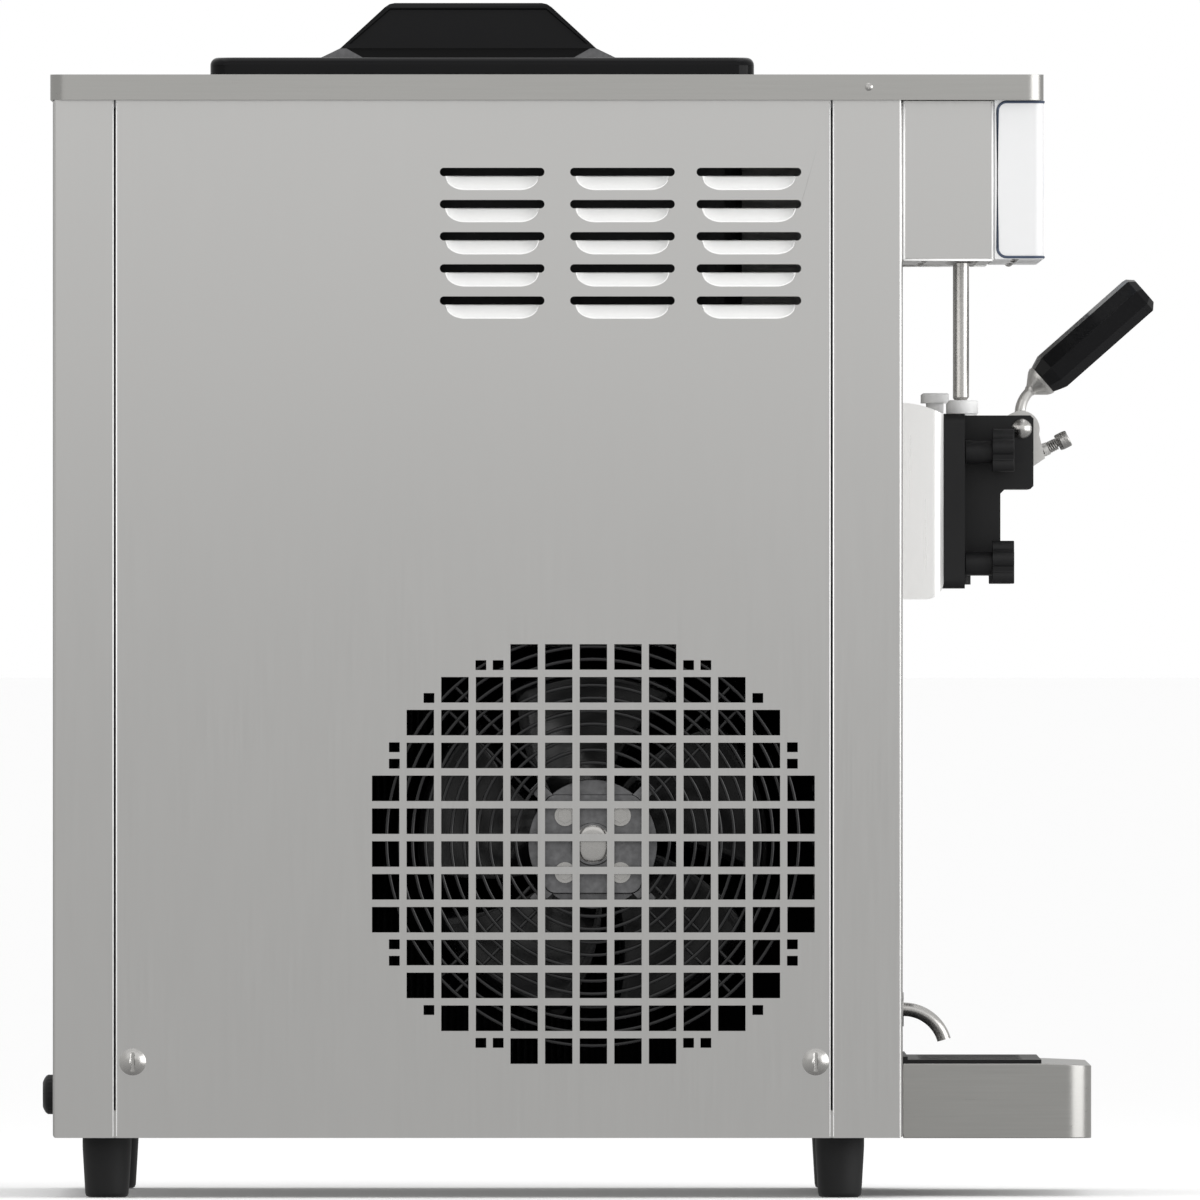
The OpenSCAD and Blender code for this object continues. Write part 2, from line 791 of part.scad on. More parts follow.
module flow_screw(i) {
    color(steel) at_flow_screw(i) {
        translate([0, 0, -7]) cylinder(r = 2.5, h = 19 + eps);
        translate([0, 0, 12]) rotate_extrude()
            polygon([[0, 0], [4.9, 0], [5.5, 0.6], [5.5, 5.9], [4.9, 6.5], [0, 6.5]]);
    }
}

module flow_screw_left() {
    flow_screw(-1);
}

module flow_screw_centre() {
    flow_screw(0);
}

module flow_screw_right() {
    flow_screw(1);
}

module push_rod(i) {
    color(steel) translate([i * tap_pitch, rod_y, 0]) {
        translate([0, 0, rod_z[0]]) cylinder(r1 = rod_r - 1.6, r2 = rod_r, h = 2);
        translate([0, 0, rod_z[0] + 2 - eps]) cylinder(r = rod_r, h = rod_z[1] - rod_z[0] - 2);
    }
}

module push_rod_left() {
    push_rod(-1);
}

module push_rod_centre() {
    push_rod(0);
}

module push_rod_right() {
    push_rod(1);
}

module star_knob(s, z) {
    lobes = 5;
    color(black) translate([s * knob_x, 0, z]) {
        slab_y(knob_y[0], knob_y[1]) {
            circle(11);
            for (a = [0:lobes - 1]) rotate(90 + a * 360 / lobes) translate([10, 0]) circle(5);
        }
        rod_along_y(7.7, knob_y[1] - eps, plate_y - 0.3);
    }
    color(steel) translate([s * knob_x, 0, z]) rod_along_y(pivot_r, knob_y[1] - 1, shroud_y + 17);
}

module star_knob_upper_left() {
    star_knob(-1, knob_z[1]);
}

module star_knob_upper_right() {
    star_knob(1, knob_z[1]);
}

module star_knob_lower_left() {
    star_knob(-1, knob_z[0]);
}

module star_knob_lower_right() {
    star_knob(1, knob_z[0]);
}

// air-bleed plug that lifts out of the top of the shroud
module vent_plug(s) {
    color(white) translate([s * plug_x, plug_y, 0]) {
        translate([0, 0, 511]) cylinder(r = 5.35, h = 8);
        translate([0, 0, 517.8]) rotate_extrude() polygon([[0, 0], [8.85, 0], [8.85, 5.4], [8, 6.2], [0, 6.2]]);
    }
}

module vent_plug_left() {
    vent_plug(-1);
}

module vent_plug_right() {
    vent_plug(1);
}

// ---------- fan and refrigeration ----------
module fan_guard() {
    wire = 1.2;
    rings = 11;
    color(black) translate([-in_w + wire + 0.2, fan_y, fan_z]) rotate([0, 90, 0]) {
        for (i = [0:rings - 1]) rotate_extrude() translate([50 + 8.4 * i, 0]) circle(wire);
        for (a = [0:3], off = [-7, 7]) rotate(45 + a * 90) translate([48, off, 2 * wire + 0.1])
            rotate([0, 90, 0]) cylinder(r = wire, h = 87);
    }
}

module fan_motor() {
    color([0.45, 0.46, 0.47]) translate([0, fan_y, motor_z]) difference() {
        union() {
            rod_along_x(42, -255, -205);
            slab_x(-259, -254) round_rect(64, 64, 8);
            slab_x(-258, -255) for (a = [45, 135]) rotate(a) square([108, 9], center = true);
            rod_along_x(13.8, -261, -258);
            for (y = [-18, 18], z = [-18.5, 18.5]) translate([0, y, z]) rotate([0, 90, 0])
                translate([0, 0, -261.5]) cylinder(r = 4.6, h = 4, $fn = 6);
        }
        rod_along_x(5 + play, -222, -204);
    }
}

module fan_blade() {
    blades = 5;
    color([0.2, 0.2, 0.21]) translate([0, fan_y, motor_z]) {
        rod_along_x(5, -221, -190);
        rod_along_x(26, -198, -172);
        for (i = [0:blades - 1]) rotate([i * 360 / blades, 0, 0]) translate([-184, 0, 20])
            rotate([0, 0, 32]) translate([-1, -34, 0]) cube([2, 68, 98]);
    }
}

module condenser() {
    x0 = -150;
    color([0.5, 0.5, 0.52]) {
        span([x0, -140, 70], [x0 + 40, 150, 360]);
        for (y = [-146, 150]) span([x0 - 3, y, floor_z + 2], [x0 + 43, y + 6, 366]);
    }
}

module compressor() {
    color(black) translate([80, 210, 0]) {
        translate([0, 0, 60]) cylinder(r = 78, h = 150);
        translate([0, 0, 210 - eps]) dome(78, 38);
        translate([0, 0, 52]) cylinder(r = 70, h = 8 + eps);
        for (a = [45:90:315]) rotate(a) translate([78, 0, floor_z + 2]) cylinder(r = 12, h = 15);
        slab_z(floor_z + 13, floor_z + 16) round_rect(150, 150, 20);
    }
}

// suction and discharge lines between the compressor and the condenser, with round elbows
module refrigerant_pipes() {
    top = 323;
    color(copper) for (s = [0, 1]) translate([-12 + s * 24, 80 + s * 24, 0]) {
        translate([0, 0, 72]) cylinder(r = 5, h = top - 72);
        translate([0, 0, top]) sphere(6.5);
        translate([0, 0, top]) rod_along_x(5, -97 - s * 24, 0);
    }
}

// ---------- front fittings ----------
module tray_outline(inset) {
    r = 17 - inset;
    w = tray_w - 2 * inset;
    back = front_y - 0.7 - inset;
    front = tray_front_y + inset;
    translate([0, (front + back) / 2]) round_rect(w, back - front, r);
    translate([-w / 2, back - 30]) square([w, 30]);
}

module drip_tray() {
    t = 1.5;
    color(steel) difference() {
        slab_z(tray_z[0], tray_z[1]) tray_outline(0);
        slab_z(tray_z[0] + t, tray_z[1] - t) tray_outline(t);
        span([-165, -279, tray_z[0] + 5], [165, -206, tray_z[1] + 1]);
        // the front edge of the top slopes down a little
        slab_x(-tray_w, tray_w) polygon([[-292, tray_z[1] + 0.01], [-325, tray_z[1] - 1.3], [-325, 95], [-292, 95]]);
    }
}

module drip_grate() {
    z = tray_z[1];
    slots = 22;
    color(black) {
        difference() {
            span([-176, -288.3, z], [176, -198.2, z + 2.5]);
            for (i = [0:slots - 1]) translate([(i - (slots - 1) / 2) * 14.6, -242.5, 0])
                slab_z(z - 1, z + 3) round_rect(8, 68, 3.9);
        }
        span([-176, -201.2, z + 2.5 - eps], [176, -198.2, z + 4.5]);
        for (x = [-163, 160]) span([x, -277, z - 4], [x + 3, -208, z + eps]);
    }
}

module ring(r_out, r_in) {
    difference() {
        circle(r_out);
        circle(r_in);
    }
}

// leak drain: a flange, a straight neck and a bend that ends in a level cut
module drip_spout() {
    bend = 27.6;
    sweep = 74;
    flange = 2.3;
    color(steel) translate([0, 0, 120.3]) {
        slab_y(front_y - flange, front_y) ring(11.2, 3.5);
        slab_y(front_y, front_y + 14) ring(4.5, 3.5);
        translate([0, front_y - flange, -bend]) rotate([90, 0, -90]) rotate([0, 0, 90 - sweep])
            rotate_extrude(angle = sweep) translate([bend, 0]) ring(4.5, 3.5);
    }
}

module cable_gland() {
    color(black) translate([-170, 0, 66.3]) difference() {
        union() {
            translate([0, rear_y, 0]) rotate([-90, 0, 0]) rotate_extrude()
                polygon([[0, 0], [13, 0], [13, 3.6], [12.2, 6], [10.6, 7.6], [0, 7.6]]);
            rod_along_y(7.8, rear_y - 12, rear_y + eps);
        }
        rod_along_y(4, rear_y - 13, rear_y + 9);
    }
}

base_pan();
frame();
side_panel_left();
side_panel_right();
rear_panel();
front_panel();
top_cover();
feet();
panel_screws();
cover_screws();
control_box();
control_bezel();
display_board();
lift_switches();
button_power();
button_wash();
button_run();
hoppers();
hopper_lid_left();
hopper_lid_right();
feed_tubes();
freezing_cylinders();
barrel_shroud();
beater_left();
beater_right();
gear_motors();
dispensing_head();
head_seals();
pivot_pin();
valve_left();
valve_centre();
valve_right();
lever_left();
lever_centre();
lever_right();
grip_left();
grip_centre();
grip_right();
flow_screw_left();
flow_screw_centre();
flow_screw_right();
push_rod_left();
push_rod_centre();
push_rod_right();
star_knob_upper_left();
star_knob_upper_right();
star_knob_lower_left();
star_knob_lower_right();
vent_plug_left();
vent_plug_right();
fan_guard();
fan_motor();
fan_blade();
condenser();
compressor();
refrigerant_pipes();
drip_tray();
drip_grate();
drip_spout();
cable_gland();
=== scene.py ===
"""Looks of the counter-top soft-serve machine: materials, rounded edges and details on the CAD frame."""
import json
import math
import bmesh
import bpy
from mathutils import Matrix, Vector


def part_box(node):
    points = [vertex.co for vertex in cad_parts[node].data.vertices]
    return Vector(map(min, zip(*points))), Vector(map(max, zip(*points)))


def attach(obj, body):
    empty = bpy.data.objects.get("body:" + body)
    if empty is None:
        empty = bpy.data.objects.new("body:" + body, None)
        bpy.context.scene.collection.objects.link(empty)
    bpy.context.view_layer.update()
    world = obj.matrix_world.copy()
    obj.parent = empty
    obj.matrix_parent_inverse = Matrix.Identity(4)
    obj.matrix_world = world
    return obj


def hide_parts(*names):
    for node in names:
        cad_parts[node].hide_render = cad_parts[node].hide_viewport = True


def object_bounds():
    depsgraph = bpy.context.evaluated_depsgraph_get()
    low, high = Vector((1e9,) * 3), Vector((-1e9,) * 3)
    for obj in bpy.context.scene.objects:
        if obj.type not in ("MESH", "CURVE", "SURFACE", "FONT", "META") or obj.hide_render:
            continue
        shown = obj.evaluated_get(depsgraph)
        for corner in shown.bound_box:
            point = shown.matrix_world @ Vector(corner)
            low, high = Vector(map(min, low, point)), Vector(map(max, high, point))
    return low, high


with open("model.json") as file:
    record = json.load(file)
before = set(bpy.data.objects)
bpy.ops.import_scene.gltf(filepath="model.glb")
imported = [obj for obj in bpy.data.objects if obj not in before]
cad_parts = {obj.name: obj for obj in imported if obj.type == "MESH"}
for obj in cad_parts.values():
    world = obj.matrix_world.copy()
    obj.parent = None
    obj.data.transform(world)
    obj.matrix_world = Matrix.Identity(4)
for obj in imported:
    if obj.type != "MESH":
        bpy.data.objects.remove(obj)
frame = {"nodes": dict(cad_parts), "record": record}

cad_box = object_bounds()
scene = bpy.context.scene
nodes = frame["nodes"]
joints = {row["name"]: row for row in frame["record"]["behaviour"]["joints"]}
MM = 0.001
TAPS = ("left", "centre", "right")

# ---------- camera, floor and light ----------
# a long lens from far away, so that the view is nearly flat; all in metres but the sensor, in mm
CAMERA_DISTANCE = 30.0
CAMERA_HEIGHT = 0.3887
CAMERA_SHIFT = -0.0006
CLIP_END = 500
SENSOR = 36.0
FRAME_SPAN = 0.780
FLOOR_SIZE = 400


def add_camera():
    """Long lens square to the left side of the machine, as the photograph is taken."""
    data = bpy.data.cameras.new("camera")
    cam = bpy.data.objects.new("camera", data)
    scene.collection.objects.link(cam)
    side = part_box("side_panel_left")[0].x
    data.sensor_width = SENSOR
    data.lens = SENSOR * CAMERA_DISTANCE / FRAME_SPAN
    data.clip_end = CLIP_END
    mid = (cad_box[0] + cad_box[1]) / 2
    cam.location = (side - CAMERA_DISTANCE, mid.y + CAMERA_SHIFT, CAMERA_HEIGHT)
    cam.rotation_euler = (math.radians(90), 0, math.radians(-90))
    scene.camera = cam


def area_light(name, at, target, size, power):
    """Softbox that lights and reflects but isn't seen by the camera."""
    data = bpy.data.lights.new(name, "AREA")
    data.shape = "RECTANGLE"
    data.size, data.size_y = size
    data.energy = power
    lamp = bpy.data.objects.new(name, data)
    scene.collection.objects.link(lamp)
    lamp.location = at
    lamp.rotation_euler = (Vector(target) - Vector(at)).to_track_quat("-Z", "Y").to_euler()
    lamp.visible_camera = False


SKY_NADIR = 0.30
SKY_HORIZON = 0.56
SKY_LOW = 0.62
SKY_ZENITH = 0.8


def grey(level, blue=1.0):
    return (level, level, level * blue, 1)


def add_world():
    """White surround; what shines sees a grey studio that gets brighter overhead."""
    world = bpy.data.worlds.new("studio")
    scene.world = world
    world.use_nodes = True
    tree = world.node_tree
    plain = tree.nodes["Background"]
    plain.inputs["Color"].default_value = grey(1)
    plain.inputs["Strength"].default_value = 1.0
    shiny = tree.nodes.new("ShaderNodeBackground")
    coords = tree.nodes.new("ShaderNodeTexCoord")
    split = tree.nodes.new("ShaderNodeSeparateXYZ")
    ramp = tree.nodes.new("ShaderNodeValToRGB")
    stretch = tree.nodes.new("ShaderNodeMapRange")
    stretch.inputs["From Min"].default_value = -1.0
    path = tree.nodes.new("ShaderNodeLightPath")
    mix = tree.nodes.new("ShaderNodeMixShader")
    ramp.color_ramp.elements[0].color = grey(SKY_NADIR)
    ramp.color_ramp.elements[1].color = grey(SKY_ZENITH)
    for place, level in ((0.5, SKY_HORIZON), (0.62, SKY_LOW)):
        ramp.color_ramp.elements.new(place).color = grey(level, 0.99)
    tree.links.new(coords.outputs["Generated"], split.inputs[0])
    tree.links.new(split.outputs["Z"], stretch.inputs["Value"])
    tree.links.new(stretch.outputs["Result"], ramp.inputs["Fac"])
    tree.links.new(ramp.outputs["Color"], shiny.inputs["Color"])
    tree.links.new(path.outputs["Is Glossy Ray"], mix.inputs["Fac"])
    tree.links.new(plain.outputs[0], mix.inputs[1])
    tree.links.new(shiny.outputs[0], mix.inputs[2])
    tree.links.new(mix.outputs[0], tree.nodes["World Output"].inputs["Surface"])


def add_studio():
    """White floor and broad softboxes."""
    bpy.ops.mesh.primitive_plane_add(size=FLOOR_SIZE, location=(0, 0, 0))
    floor = bpy.context.object
    floor.name = "floor"
    plastic_material("floor_paint", (0.99, 0.99, 0.99), 0.9, grain=60.0, strength=0.02)
    floor.data.materials.append(MATS["floor_paint"])
    floor.visible_glossy = False
    add_world()
    area_light("softbox_side", (-1.5, 0.05, 1.15), (0, 0.05, 1.15), (2.4, 1.3), 3.0)
    area_light("softbox_front", (-1.25, -2.3, 0.75), (0, -0.2, 0.45), (2.6, 1.6), 30)
    area_light("softbox_top", (0, 0, 2.8), (0, 0, 0.6), (2.2, 2.2), 10)
    scene.view_settings.view_transform = "Standard"
    scene.view_settings.look = "None"


# ---------- materials ----------
MATS = {}


def new_material(name):
    """A new material, kept in MATS under its own name."""
    mat = bpy.data.materials.new(name)
    mat.use_nodes = True
    MATS[name] = mat
    tree = mat.node_tree
    return tree, tree.nodes["Principled BSDF"]


def add_node(tree, kind, **values):
    node = tree.nodes.new(kind)
    for key, value in values.items():
        node.inputs[key.replace("_", " ")].default_value = value
    return node


def object_coords(tree, scale):
    coords = tree.nodes.new("ShaderNodeTexCoord")
    mapping = tree.nodes.new("ShaderNodeMapping")
    mapping.inputs["Scale"].default_value = scale
    tree.links.new(coords.outputs["Object"], mapping.inputs["Vector"])
    return mapping.outputs["Vector"]


def noise(tree, scale, detail=3.0, stretch=(1, 1, 1)):
    tex = add_node(tree, "ShaderNodeTexNoise", Scale=scale, Detail=detail)
    tree.links.new(object_coords(tree, stretch), tex.inputs["Vector"])
    return tex.outputs["Fac"]


def spread(tree, value, low, high):
    """Maps a 0..1 signal to the range low..high."""
    node = tree.nodes.new("ShaderNodeMapRange")
    node.inputs["From Min"].default_value = 0.25
    node.inputs["From Max"].default_value = 0.75
    node.inputs["To Min"].default_value = low
    node.inputs["To Max"].default_value = high
    tree.links.new(value, node.inputs["Value"])
    return node.outputs["Result"]


def tinted(tree, value, dark, light):
    """Mixes two colours by a 0..1 signal; inputs 6 and 7 are the node's two colours."""
    mix = tree.nodes.new("ShaderNodeMix")
    mix.data_type = "RGBA"
    mix.inputs[6].default_value = (*dark, 1)
    mix.inputs[7].default_value = (*light, 1)
    tree.links.new(value, mix.inputs[0])
    return mix.outputs[2]


def bump(tree, shader, height, strength, distance):
    node = add_node(tree, "ShaderNodeBump", Strength=strength, Distance=distance)
    tree.links.new(height, node.inputs["Height"])
    tree.links.new(node.outputs["Normal"], shader.inputs["Normal"])


STEEL_BUMP = 0.04 * MM
PLASTIC_BUMP = 0.08 * MM
EVEN = (1, 1, 1)
UPRIGHT = (1, 1, 0.02)
LENGTHWISE = (1, 0.02, 1)


def steel_material(name, tone, rough, grain, strength, contrast, scale, metal=1.0):
    """Brushed steel: fine streaks, long along the axis where the grain is small."""
    tree, bsdf = new_material(name)
    streaks = noise(tree, scale, 6.0, grain)
    clouds = noise(tree, 5.0, 2.0)
    dark = tuple(c * (1 - contrast) for c in tone)
    light = tuple(min(1.0, c * (1 + contrast)) for c in tone)
    tree.links.new(tinted(tree, spread(tree, streaks, 0, 1), dark, light), bsdf.inputs["Base Color"])
    bsdf.inputs["Metallic"].default_value = metal
    both = tree.nodes.new("ShaderNodeMath")
    both.operation = "ADD"
    tree.links.new(spread(tree, streaks, rough - 0.05, rough + 0.05), both.inputs[0])
    tree.links.new(spread(tree, clouds, -0.02, 0.02), both.inputs[1])
    tree.links.new(both.outputs[0], bsdf.inputs["Roughness"])
    bump(tree, bsdf, streaks, strength, STEEL_BUMP)


def plastic_material(name, tone, rough, grain=900.0, strength=0.12, coat=0.0, spread_rough=0.05, sheen=0.5,
                     contrast=0.12):
    """Moulded plastic: fine orange-peel grain with a slightly uneven sheen."""
    tree, bsdf = new_material(name)
    fine = noise(tree, grain, 3.0)
    clouds = noise(tree, 14.0, 3.0)
    light = tuple(min(1.0, c * (1 + contrast) + 0.002) for c in tone)
    tree.links.new(tinted(tree, clouds, tone, light), bsdf.inputs["Base Color"])
    tree.links.new(spread(tree, clouds, rough - spread_rough, rough + spread_rough), bsdf.inputs["Roughness"])
    bsdf.inputs["Specular IOR Level"].default_value = sheen
    bsdf.inputs["Coat Weight"].default_value = coat
    bsdf.inputs["Coat Roughness"].default_value = 0.08
    bump(tree, bsdf, fine, strength, PLASTIC_BUMP)


def make_steels():
    """Steels and other metals."""
    steel = steel_material
    steel("brushed_steel", (0.62, 0.615, 0.605), 0.36, UPRIGHT, strength=0.03, contrast=0.006, scale=900.0)
    steel("cover_steel", (0.45, 0.445, 0.43), 0.32, LENGTHWISE, strength=0.10, contrast=0.035, scale=700.0)
    steel("polished_steel", (0.54, 0.53, 0.515), 0.26, EVEN, strength=0.03, contrast=0.03, scale=600.0)
    steel("satin_shroud", (0.80, 0.795, 0.785), 0.30, UPRIGHT, strength=0.015, contrast=0.006, scale=500.0,
          metal=0.35)
    steel("frame_metal", (0.20, 0.20, 0.205), 0.42, EVEN, strength=0.4, contrast=0.25, scale=260.0)
    steel("fin_metal", (0.07, 0.07, 0.075), 0.5, LENGTHWISE, strength=0.5, contrast=0.3, scale=500.0)
    steel("copper", (0.60, 0.32, 0.18), 0.35, EVEN, strength=0.2, contrast=0.2, scale=200.0)
    # painted highlight: a pale, nearly unmetallic copy of the panel steel, for the hoods that face the
    # overhead light and for the folded edges
    steel("painted_highlight_steel", (0.86, 0.86, 0.85), 0.40, EVEN, strength=0.03, contrast=0.01, scale=300.0, metal=0.1)
    steel("lever_steel", (0.72, 0.71, 0.69), 0.42, EVEN, strength=0.03, contrast=0.03, scale=500.0, metal=0.8)


def make_plastics():
    """Plastics, rubbers, paint and glass."""
    plastic = plastic_material
    plastic("black_gloss", (0.005, 0.005, 0.0055), 0.14, grain=60.0, strength=0.01, spread_rough=0.03,
            sheen=0.12)
    plastic("black_matt", (0.009, 0.009, 0.0095), 0.42, grain=1400.0, strength=0.2, sheen=0.22)
    plastic("white_bezel", (0.62, 0.622, 0.625), 0.32, strength=0.02, spread_rough=0.01, sheen=0.4,
            contrast=0.015)
    plastic("white_plastic", (0.93, 0.93, 0.925), 0.38, strength=0.04)
    plastic("key_plastic", (0.55, 0.60, 0.66), 0.33, strength=0.08, coat=0.2)
    plastic("display_glass", (0.012, 0.016, 0.022), 0.12, grain=400.0, strength=0.01, coat=0.6)
    plastic("rubber", (0.007, 0.007, 0.0075), 0.55, grain=1100.0, strength=0.3, sheen=0.3)
    plastic("seal_rubber", (0.45, 0.10, 0.07), 0.5, grain=1100.0, strength=0.2)
    plastic("black_metal", (0.004, 0.004, 0.0045), 0.16, grain=300.0, strength=0.02, spread_rough=0.04)
    plastic("gasket_blue", (0.035, 0.05, 0.085), 0.4)


SLOT_OF = {row["node"]: row["material_slot"] for row in frame["record"]["subparts"]}
BODY_OF = {n: body for body, members in frame["record"]["behaviour"]["bodies"].items() for n in members}


def paint_frame():
    """Gives every CAD node the material of its slot."""
    for name, obj in nodes.items():
        obj.data.materials.clear()
        obj.data.materials.append(MATS[SLOT_OF[name]])


# ---------- piece helpers ----------
WELD = 2e-6
NEAR = 1e-5
FLAT_ANGLE = math.radians(0.6)
SHARP_ANGLE = math.radians(34)
BEVEL_ANGLE = math.radians(32)
TURNED_SHARP_ANGLE = math.radians(38)
NORMAL_WEIGHT = 80


def outward(bm):
    """Turns all faces of closed shapes to the outside."""
    bmesh.ops.recalc_face_normals(bm, faces=bm.faces)


def thicken(obj, thickness):
    """Gives a surface the thickness of its sheet, half to each side."""
    sheet = obj.modifiers.new("sheet", "SOLIDIFY")
    sheet.thickness = thickness
    sheet.offset = 0


def weigh_normals(obj):
    """Keeps flat faces flat beside rounded ones."""
    weighted = obj.modifiers.new("flat_faces", "WEIGHTED_NORMAL")
    weighted.weight = NORMAL_WEIGHT
    return weighted


def piece_from(bm, name, body, slot, smooth=True, look=None):
    """Turns a bmesh into a piece that rides on a body; look is a material other than its slot's own."""
    mesh = bpy.data.meshes.new(name)
    bm.normal_update()
    bm.to_mesh(mesh)
    bm.free()
    obj = bpy.data.objects.new(name, mesh)
    scene.collection.objects.link(obj)
    mesh.materials.append(MATS[look or slot])
    if smooth:
        mesh.shade_smooth()
    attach(obj, body)
    return obj


def cleaned(node):
    """The CAD node's mesh as a bmesh with its flat faces merged."""
    bm = bmesh.new()
    bm.from_mesh(nodes[node].data)
    bmesh.ops.remove_doubles(bm, verts=bm.verts, dist=WELD)
    bmesh.ops.dissolve_limit(bm, angle_limit=FLAT_ANGLE, verts=bm.verts, edges=bm.edges)
    return bm


def even_shading(obj):
    """Smooth curved faces while the flat ones stay flat."""
    obj.data.set_sharp_from_angle(angle=SHARP_ANGLE)
    weigh_normals(obj).keep_sharp = True


def soften(node, width):
    """Replaces a CAD node by the same shape with small rounded edges."""
    obj = piece_from(cleaned(node), node + "_moulded", BODY_OF[node], SLOT_OF[node])
    bevel = obj.modifiers.new("edge_radius", "BEVEL")
    bevel.width = width
    bevel.segments = 2
    bevel.limit_method = "ANGLE"
    bevel.angle_limit = BEVEL_ANGLE
    bevel.use_clamp_overlap = True
    weigh_normals(obj)
    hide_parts(node)


def smooth_copy(node, look=None):
    """Replaces a CAD node by the same shape with its turned faces shaded smooth."""
    obj = piece_from(cleaned(node), node + "_smooth", BODY_OF[node], SLOT_OF[node], look=look)
    even_shading(obj)
    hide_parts(node)


def bend_corners(node, radius):
    """Replaces a wrap panel by the same panel with rounded upright bends."""
    low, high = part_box(node)
    face = low.y if node == "front_panel" else high.y
    bm = cleaned(node)

    def at_bend(v):
        return abs(v.co.y - face) < NEAR and abs(abs(v.co.x) - high.x) < NEAR

    edges = [e for e in bm.edges if all(at_bend(v) for v in e.verts)]
    bmesh.ops.bevel(bm, geom=edges, offset=radius, offset_type="OFFSET", segments=4, profile=0.5,
                    affect="EDGES", clamp_overlap=False)
    obj = piece_from(bm, node + "_bent", BODY_OF[node], SLOT_OF[node])
    even_shading(obj)
    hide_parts(node)


def circle_angles(sides):
    return [2 * math.pi * k / sides for k in range(sides)]


def join_rings(bm, one, two):
    """Faces between two rings of the same number of points."""
    for k in range(len(one)):
        after = (k + 1) % len(one)
        bm.faces.new((one[k], one[after], two[after], two[k]))


def join_rows(bm, rows):
    """Faces between neighbouring open rows of points."""
    for one, two in zip(rows, rows[1:]):
        for k in range(len(one) - 1):
            bm.faces.new((one[k], one[k + 1], two[k + 1], two[k]))


def sweep(bm, path, radius, sides=8, closed=False):
    """A round tube along a path of points."""
    rings = []
    count = len(path)
    for i, point in enumerate(path):
        ahead = path[(i + 1) % count] if closed or i < count - 1 else point
        behind = path[i - 1] if closed or i > 0 else point
        way = (ahead - behind).normalized()
        side = way.cross(Vector((0, 0, 1)))
        side = side.normalized() if side.length > 1e-3 else Vector((1, 0, 0))
        up = side.cross(way).normalized()
        rings.append([bm.verts.new(point + side * (radius * math.cos(a)) + up * (radius * math.sin(a)))
                      for a in circle_angles(sides)])
    last = count if closed else count - 1
    for i in range(last):
        join_rings(bm, rings[i], rings[(i + 1) % count])
    if not closed:
        bm.faces.new(list(reversed(rings[0])))
        bm.faces.new(rings[-1])


def lathe(name, body, slot, place, height, rows, sides, radius):
    """A turned piece along +Z of its place; radius is a function of the height and the angle."""
    bm = bmesh.new()
    rings = []
    for i in range(rows + 1):
        z = height * i / rows
        rings.append([bm.verts.new((radius(z, a) * math.cos(a), radius(z, a) * math.sin(a), z))
                      for a in circle_angles(sides)])
    for one, two in zip(rings, rings[1:]):
        join_rings(bm, one, two)
    bm.faces.new(list(reversed(rings[0])))
    bm.faces.new(rings[-1])
    bmesh.ops.transform(bm, matrix=place, verts=bm.verts)
    obj = piece_from(bm, name, body, slot)
    obj.data.set_sharp_from_angle(angle=TURNED_SHARP_ANGLE)
    return obj


# ---------- side panels ----------
SIDES = (("left", -1), ("right", 1))
PANEL_SHEET = 1.2 * MM
LOUVRE_COLUMNS = (69.6 * MM, -15.1 * MM, -97.3 * MM)
LOUVRE_TOP = {"left": 666.9 * MM, "right": 340.0 * MM}
LOUVRE_PITCH = 20.9 * MM
LOUVRE_ROWS = 5
HALF_SLOT = 2.75 * MM
HOOD_LENGTH = 61 * MM
HOOD_HEIGHT = 9.1 * MM
HOOD_DEPTH = 7 * MM
HOOD_CORNER = 13 * MM
HOOD_SHEET = 0.9 * MM
HOOD_SINK = 0.3 * MM
SHOULDER_SHEET = 0.6 * MM
SHOULDER_SINK = 0.5 * MM
SHOULDER_LAP = 1 * MM


def louvre_places(side):
    """Middle of each slot's lower edge: columns from the rear, rows from the top."""
    top = LOUVRE_TOP[side] - HALF_SLOT
    return [(y, top - row * LOUVRE_PITCH) for y in LOUVRE_COLUMNS for row in range(LOUVRE_ROWS)]


def add_hood(bm, y, z, face, inward):
    """One pressed hood: a scooped sheet that leaves the panel along its foot and its rounded ends."""
    half = HOOD_LENGTH / 2
    across, up = 36, 10
    rows = []
    for j in range(up + 1):
        s = j / up
        row = []
        for i in range(across + 1):
            u = -half + HOOD_LENGTH * i / across
            t = max(0.0, (abs(u) - (half - HOOD_CORNER)) / HOOD_CORNER)
            foot = -HOOD_HEIGHT * math.sqrt(max(0.0, 1 - t * t))
            depth = HOOD_DEPTH * s ** 0.8 * max(0.0, 1 - t ** 3) ** 0.5
            row.append(bm.verts.new((face + inward * depth, y + u, z + foot * (1 - s))))
        rows.append(row)
    join_rows(bm, rows)


def add_hood_shoulders(bm, y, z, face):
    """Flat metal between the rounded outline of a hood and the straight window it is pressed in."""
    half = HOOD_LENGTH / 2
    steps = 12
    end, foot = half + SHOULDER_LAP, -HOOD_HEIGHT - SHOULDER_LAP
    for sign in (-1, 1):
        curve = [(half - HOOD_CORNER * (1 - math.sin(a)), -HOOD_HEIGHT * math.cos(a))
                 for a in (math.pi / 2 * k / steps for k in range(steps + 1))]
        outline = curve + [(end, 0), (end, foot), (half - HOOD_CORNER, foot)]
        bm.faces.new([bm.verts.new((face, y + sign * u, z + v)) for u, v in outline])


